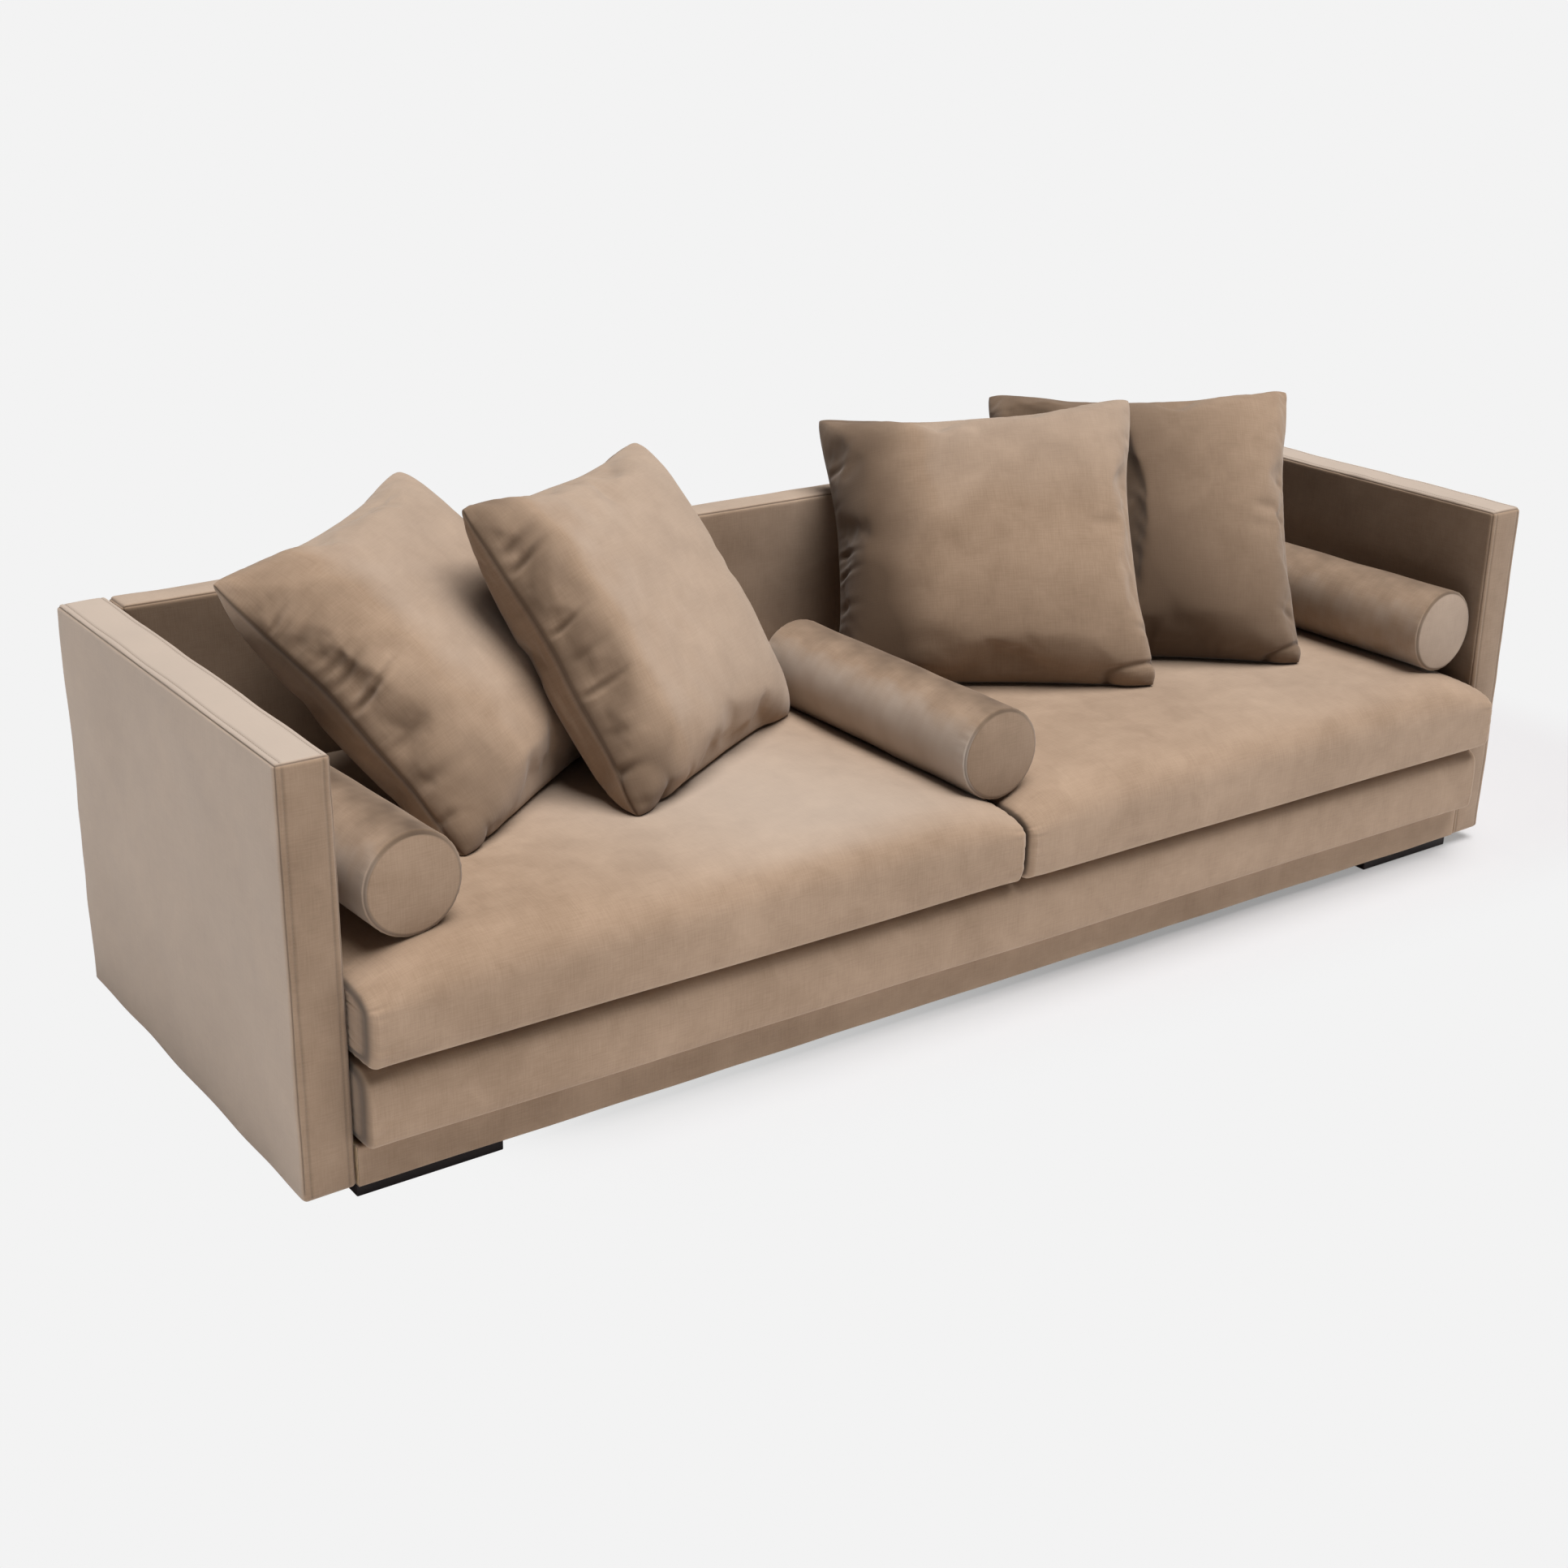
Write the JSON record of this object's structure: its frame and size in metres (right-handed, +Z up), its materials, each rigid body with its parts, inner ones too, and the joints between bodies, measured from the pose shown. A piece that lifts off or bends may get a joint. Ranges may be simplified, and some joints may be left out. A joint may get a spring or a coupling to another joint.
{
  "type": "velour sofa",
  "caption": "Low velour sofa with slab arms and back, a deck pad, loose bullnose seat cushions, knife-edge scatter cushions and round bolsters.",
  "frame": {"origin": "on the floor, under the middle of the sofa's bounding box", "axes": "+X along the sofa to the right of someone who faces its front, -Y out of the front, +Z up"},
  "size_m": [2.6, 0.942, 0.8855],
  "materials": {
    "taupe_velour": "brushed velour pile",
    "cream_foam": "open-cell foam and wadding",
    "pale_timber": "planed, unpainted",
    "stained_wood": "dark stain, satin",
    "black_cloth": "woven, matt",
    "zip_tape": "woven tape with a nylon coil",
    "zinc_steel": "zinc plated"
  },
  "bodies": {
    "sofa_frame": {"left_arm_cover": "taupe_velour", "left_arm_padding": "cream_foam", "left_arm_frame": "pale_timber", "right_arm_cover": "taupe_velour", "right_arm_padding": "cream_foam", "right_arm_frame": "pale_timber", "back_cover": "taupe_velour", "back_padding": "cream_foam", "back_frame": "pale_timber", "front_rail": "pale_timber", "rear_rail": "pale_timber", "left_side_rail": "pale_timber", "right_side_rail": "pale_timber", "centre_stretcher": "pale_timber", "front_rail_cover": "taupe_velour", "dust_cover": "black_cloth", "webbing_strap_1": "black_cloth", "webbing_strap_2": "black_cloth", "webbing_strap_3": "black_cloth", "webbing_strap_4": "black_cloth", "webbing_strap_5": "black_cloth", "webbing_strap_6": "black_cloth", "front_left_foot": "stained_wood", "front_left_arm_bolt": "zinc_steel", "front_right_foot": "stained_wood", "front_right_arm_bolt": "zinc_steel", "rear_left_foot": "stained_wood", "rear_left_arm_bolt": "zinc_steel", "rear_right_foot": "stained_wood", "rear_right_arm_bolt": "zinc_steel", "deck_cover": "taupe_velour", "deck_foam": "cream_foam"},
    "left_seat": {"left_seat_cover": "taupe_velour", "left_seat_foam": "cream_foam", "left_seat_zip": "zip_tape"},
    "right_seat": {"right_seat_cover": "taupe_velour", "right_seat_foam": "cream_foam", "right_seat_zip": "zip_tape"},
    "left_bolster": {"left_bolster_cover": "taupe_velour", "left_bolster_core": "cream_foam", "left_bolster_zip": "zip_tape"},
    "centre_bolster": {"centre_bolster_cover": "taupe_velour", "centre_bolster_core": "cream_foam", "centre_bolster_zip": "zip_tape"},
    "right_bolster": {"right_bolster_cover": "taupe_velour", "right_bolster_core": "cream_foam", "right_bolster_zip": "zip_tape"},
    "scatter_1": {"scatter_1_cover": "taupe_velour", "scatter_1_filling": "cream_foam", "scatter_1_zip": "zip_tape"},
    "scatter_2": {"scatter_2_cover": "taupe_velour", "scatter_2_filling": "cream_foam", "scatter_2_zip": "zip_tape"},
    "scatter_3": {"scatter_3_cover": "taupe_velour", "scatter_3_filling": "cream_foam", "scatter_3_zip": "zip_tape"},
    "scatter_4": {"scatter_4_cover": "taupe_velour", "scatter_4_filling": "cream_foam", "scatter_4_zip": "zip_tape"}
  },
  "joints": [
    {"name": "left_seat_slide", "type": "slide", "parent": "sofa_frame", "child": "left_seat", "axis": [0, -1, 0], "range_m": [0, 0.3]},
    {"name": "right_seat_slide", "type": "slide", "parent": "sofa_frame", "child": "right_seat", "axis": [0, -1, 0], "range_m": [0, 0.3]},
    {"name": "left_bolster_slide", "type": "slide", "parent": "left_seat", "child": "left_bolster", "axis": [0.0523, -0.9986, 0], "range_m": [0, 0.4]},
    {"name": "centre_bolster_slide", "type": "slide", "parent": "left_seat", "child": "centre_bolster", "axis": [0, -1, 0], "range_m": [0, 0.4]},
    {"name": "right_bolster_slide", "type": "slide", "parent": "right_seat", "child": "right_bolster", "axis": [0.0262, -0.9997, 0], "range_m": [0, 0.4]},
    {"name": "scatter_1_slide", "type": "slide", "parent": "left_seat", "child": "scatter_1", "axis": [-0.2929, 0.4749, 0.8298], "range_m": [0, 0.35]},
    {"name": "scatter_2_slide", "type": "slide", "parent": "left_seat", "child": "scatter_2", "axis": [-0.2929, 0.4749, 0.8298], "range_m": [0, 0.35]},
    {"name": "scatter_3_slide", "type": "slide", "parent": "right_seat", "child": "scatter_3", "axis": [0.3531, 0.4521, 0.8191], "range_m": [0, 0.35]},
    {"name": "scatter_4_slide", "type": "slide", "parent": "right_seat", "child": "scatter_4", "axis": [0.365, 0.448, 0.8161], "range_m": [0, 0.35]}
  ]
}
